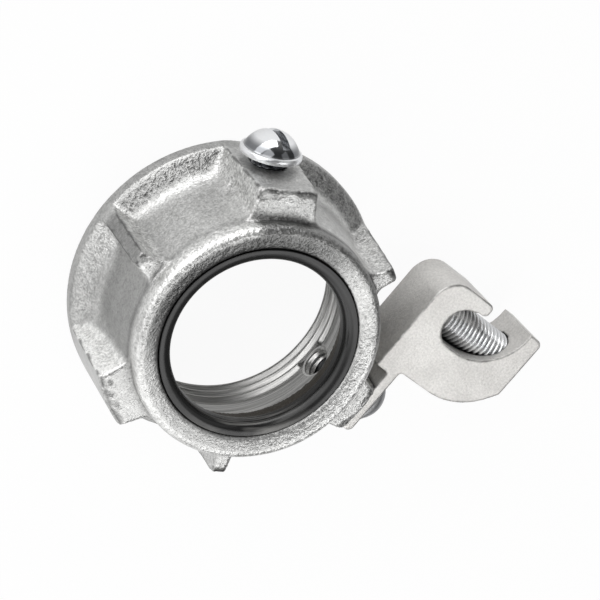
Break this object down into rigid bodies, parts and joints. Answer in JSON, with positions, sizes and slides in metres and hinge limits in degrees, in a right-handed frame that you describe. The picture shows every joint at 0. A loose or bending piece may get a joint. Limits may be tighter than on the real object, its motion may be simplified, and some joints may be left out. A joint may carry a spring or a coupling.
{
  "type": "conduit hub",
  "caption": "Round threaded metal conduit end with scooped sides, a dark throat liner, a bonding screw and a lay-in lug for a ground wire.",
  "frame": {"origin": "centre of the conduit bore on the back face", "axes": "+Z along the bore towards the insulated front, +X out through the lug seat, +Y the way the lug reaches"},
  "size_m": [0.0836, 0.0598, 0.0254],
  "materials": {
    "zinc_plated_iron": "rough sand-cast skin with bright zinc plating",
    "dark_plastic": "smooth, slightly glossy",
    "plated_steel": "bright zinc plated",
    "plated_aluminium": "fine matte grain, tin plated"
  },
  "bodies": {
    "hub": {"hub_body": "zinc_plated_iron", "throat_liner": "dark_plastic", "ground_lug": "plated_aluminium", "lug_mount_screw": "plated_steel"},
    "bonding": {"bonding_screw": "plated_steel"},
    "wire_clamp": {"wire_clamp_screw": "plated_steel"}
  },
  "joints": [
    {"name": "bonding_screw_travel", "type": "slide", "parent": "hub", "child": "bonding", "axis": [-0.4846, 0.8742, 0.0318], "range_m": [-0.0013, 0.004]},
    {"name": "wire_clamp_travel", "type": "slide", "parent": "hub", "child": "wire_clamp", "axis": [1, 0, 0], "range_m": [-0.0004, 0.013]}
  ]
}
